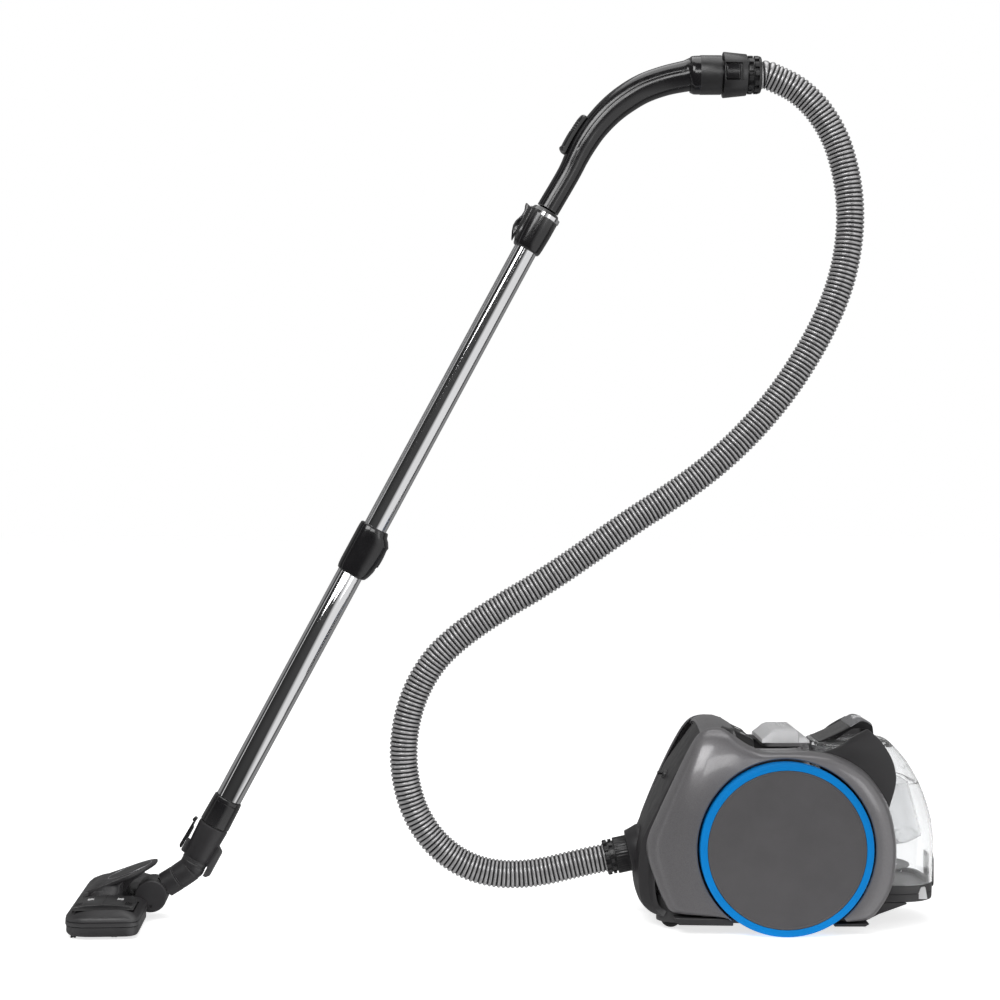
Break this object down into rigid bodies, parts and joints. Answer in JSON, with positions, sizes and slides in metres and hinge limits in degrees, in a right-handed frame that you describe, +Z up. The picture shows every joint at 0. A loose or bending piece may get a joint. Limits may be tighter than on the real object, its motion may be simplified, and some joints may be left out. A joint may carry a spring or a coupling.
{
  "type": "canister vacuum cleaner",
  "caption": "Bagless canister vacuum cleaner on big side wheels, with a clear dust container, ribbed hose, curved handle, telescopic wand and floor head.",
  "frame": {"origin": "on the floor, under the middle of the machine's box as it stands in use, without its hose", "axes": "+Z up; +X from the floor head to the canister; the machine's mid plane is the XZ plane and -Y is its right-hand side"},
  "size_m": [1.1566, 0.2978, 1.1635],
  "materials": {
    "grey_lacquer": "grey metallic lacquer, gloss",
    "dark_plastic": "dark grey moulded, fine texture",
    "black_gloss": "black polished",
    "black_soft": "black satin",
    "wheel_grey": "grey matte",
    "tyre_blue": "blue rubber",
    "caster_rubber": "black rubber",
    "clear_smoke": "clear smoked plastic, polished",
    "light_clear": "pale translucent plastic",
    "chrome": "polished chrome tube",
    "steel": "turned steel",
    "hose_silver": "silver grey ribbed",
    "filter_white": "pleated filter paper",
    "motor_dark": "dark grey moulded",
    "bristle": "black bristle"
  },
  "bodies": {
    "canister": {"base_tub": "dark_plastic", "side_shell_right": "grey_lacquer", "side_shell_left": "grey_lacquer", "front_frame": "dark_plastic", "top_deck": "grey_lacquer", "filter_cover": "light_clear", "cheek_panel_right": "dark_plastic", "cheek_panel_left": "dark_plastic", "hose_socket": "dark_plastic", "inlet_duct": "dark_plastic", "motor_housing": "motor_dark", "motor_stator": "steel", "fan_cover": "motor_dark", "exhaust_filter": "filter_white", "cord_outlet": "black_soft", "wheel_axle_right": "steel", "wheel_axle_left": "steel"},
    "motor_rotor": {"motor_armature": "steel", "fan_impeller": "steel"},
    "reel": {"cable_reel": "dark_plastic"},
    "power_switch": {"power_button": "black_soft"},
    "rewind_switch": {"rewind_button": "black_soft"},
    "dial": {"power_dial": "black_gloss"},
    "wheel_right": {"wheel_disc_right": "wheel_grey", "wheel_tyre_right": "tyre_blue"},
    "wheel_left": {"wheel_disc_left": "wheel_grey", "wheel_tyre_left": "tyre_blue"},
    "caster_right": {"caster_fork_right": "dark_plastic"},
    "caster_left": {"caster_fork_left": "dark_plastic"},
    "caster_roller_right": {"caster_wheel_right": "caster_rubber"},
    "caster_roller_left": {"caster_wheel_left": "caster_rubber"},
    "bin": {"dust_container": "clear_smoke", "cyclone_cone": "black_gloss", "container_floor": "dark_plastic", "floor_latch": "light_clear"},
    "bin_lid": {"container_lid": "clear_smoke", "container_handle": "black_gloss"},
    "bin_release": {"release_button": "light_clear"},
    "hose_line": {"hose": "hose_silver", "hose_cuff_canister": "black_soft", "hose_cuff_handle": "black_soft"},
    "handle": {"handle_tube": "black_soft", "wand_collar": "black_gloss", "wand_tube_upper": "chrome"},
    "bleed_slider": {"suction_slider": "black_gloss"},
    "wand_lever": {"collar_lever": "black_gloss"},
    "lower_wand": {"wand_tube_lower": "chrome", "telescopic_sleeve": "black_gloss", "wand_collar_lower": "black_gloss", "neck_connector": "dark_plastic"},
    "length_button": {"telescopic_button": "black_soft"},
    "wand_clip": {"neck_clip": "black_gloss"},
    "elbow": {"neck_elbow": "dark_plastic"},
    "floor_head": {"head_sole": "dark_plastic", "head_cover": "dark_plastic"},
    "brush_pedal": {"head_pedal": "black_soft"},
    "brush_strips": {"bristle_strip_front": "bristle", "bristle_strip_rear": "bristle"},
    "head_wheel_right": {"head_roller_right": "caster_rubber"},
    "head_wheel_left": {"head_roller_left": "caster_rubber"}
  },
  "joints": [
    {"name": "wheel_spin_right", "type": "hinge", "parent": "canister", "child": "wheel_right", "pos_m": [0.3653, -0.12, 0.1118], "axis": [0, 1, 0], "continuous": true},
    {"name": "caster_swivel_right", "type": "hinge", "parent": "canister", "child": "caster_right", "pos_m": [0.2293, -0.062, 0.03], "axis": [0, 0, 1], "continuous": true},
    {"name": "caster_roll_right", "type": "hinge", "parent": "caster_right", "child": "caster_roller_right", "pos_m": [0.2213, -0.062, 0.014], "axis": [0, 1, 0], "continuous": true},
    {"name": "wheel_spin_left", "type": "hinge", "parent": "canister", "child": "wheel_left", "pos_m": [0.3653, 0.12, 0.1118], "axis": [0, 1, 0], "continuous": true},
    {"name": "caster_swivel_left", "type": "hinge", "parent": "canister", "child": "caster_left", "pos_m": [0.2293, 0.062, 0.03], "axis": [0, 0, 1], "continuous": true},
    {"name": "caster_roll_left", "type": "hinge", "parent": "caster_left", "child": "caster_roller_left", "pos_m": [0.2213, 0.062, 0.014], "axis": [0, 1, 0], "continuous": true},
    {"name": "motor_spin", "type": "hinge", "parent": "canister", "child": "motor_rotor", "pos_m": [0.3203, 0, 0.078], "axis": [0, 1, 0], "continuous": true},
    {"name": "reel_spin", "type": "hinge", "parent": "canister", "child": "reel", "pos_m": [0.3133, -0.06, 0.098], "axis": [0, 1, 0], "continuous": true},
    {"name": "power_press", "type": "slide", "parent": "canister", "child": "power_switch", "axis": [0, 0, -1], "range_m": [0, 0.005], "stiffness_N_per_m": 400},
    {"name": "rewind_press", "type": "slide", "parent": "canister", "child": "rewind_switch", "axis": [0, 0, -1], "range_m": [0, 0.005], "stiffness_N_per_m": 400},
    {"name": "dial_turn", "type": "hinge", "parent": "canister", "child": "dial", "pos_m": [0.2813, 0, 0.245], "axis": [0, 0, 1], "range_deg": [-135, 135]},
    {"name": "container_lift", "type": "slide", "parent": "canister", "child": "bin", "axis": [0, 0, 1], "range_m": [0, 0.225]},
    {"name": "container_lid_open", "type": "hinge", "parent": "bin", "child": "bin_lid", "pos_m": [0.5578, 0, 0.1874], "axis": [0, 1, 0], "range_deg": [0, 80]},
    {"name": "container_release_press", "type": "slide", "parent": "bin_lid", "child": "bin_release", "axis": [0, 0, -1], "range_m": [0, 0.0018], "stiffness_N_per_m": 300},
    {"name": "hose_inlet_swivel", "type": "hinge", "parent": "canister", "child": "hose_line", "pos_m": [0.1738, 0, 0.0872], "axis": [0.9781, 0, 0.2079], "continuous": true},
    {"name": "handle_swivel", "type": "hinge", "parent": "hose_line", "child": "handle", "pos_m": [0.2963, 0, 1.133], "axis": [1, 0, 0], "continuous": true},
    {"name": "bleed_slide", "type": "slide", "parent": "handle", "child": "bleed_slider", "axis": [-0.5269, 0, -0.8499], "range_m": [-0.006, 0.006]},
    {"name": "collar_lever_press", "type": "hinge", "parent": "handle", "child": "wand_lever", "pos_m": [0.0099, 0, 0.91342], "axis": [0, 1, 0], "range_deg": [0, 3], "stiffness_Nm_per_rad": 1},
    {"name": "telescopic_slide", "type": "slide", "parent": "handle", "child": "lower_wand", "axis": [-0.4761, 0, -0.8794], "range_m": [-0.3, 0]},
    {"name": "telescopic_button_press", "type": "slide", "parent": "lower_wand", "child": "length_button", "axis": [-0.8794, 0, 0.4761], "range_m": [0, 0.002], "stiffness_N_per_m": 300},
    {"name": "neck_clip_press", "type": "hinge", "parent": "lower_wand", "child": "wand_clip", "pos_m": [-0.43303, 0, 0.09567], "axis": [0, 1, 0], "range_deg": [0, 3], "stiffness_Nm_per_rad": 1},
    {"name": "neck_swivel", "type": "hinge", "parent": "lower_wand", "child": "elbow", "pos_m": [-0.41434, 0, 0.07475], "axis": [-0.4761, 0, -0.8794], "range_deg": [-90, 90]},
    {"name": "head_tilt", "type": "hinge", "parent": "elbow", "child": "floor_head", "pos_m": [-0.471, 0, 0.032], "axis": [-0.0698, 0.9976, 0], "range_deg": [-20, 18]},
    {"name": "pedal_rock", "type": "hinge", "parent": "floor_head", "child": "brush_pedal", "pos_m": [-0.5149, -0.10331, 0.036], "axis": [-0.0698, 0.9976, 0], "range_deg": [0, 3]},
    {"name": "brush_lift", "type": "slide", "parent": "floor_head", "child": "brush_strips", "axis": [0, 0, 1], "range_m": [0, 0.004]},
    {"name": "head_roll_right", "type": "hinge", "parent": "floor_head", "child": "head_wheel_right", "pos_m": [-0.48093, -0.11597, 0.007], "axis": [-0.0698, 0.9976, 0], "continuous": true},
    {"name": "head_roll_left", "type": "hinge", "parent": "floor_head", "child": "head_wheel_left", "pos_m": [-0.49698, 0.11346, 0.007], "axis": [-0.0698, 0.9976, 0], "continuous": true}
  ],
  "couplings": [
    {"joint": "brush_lift", "follows": "pedal_rock", "m_per_rad": 0.07639}
  ]
}
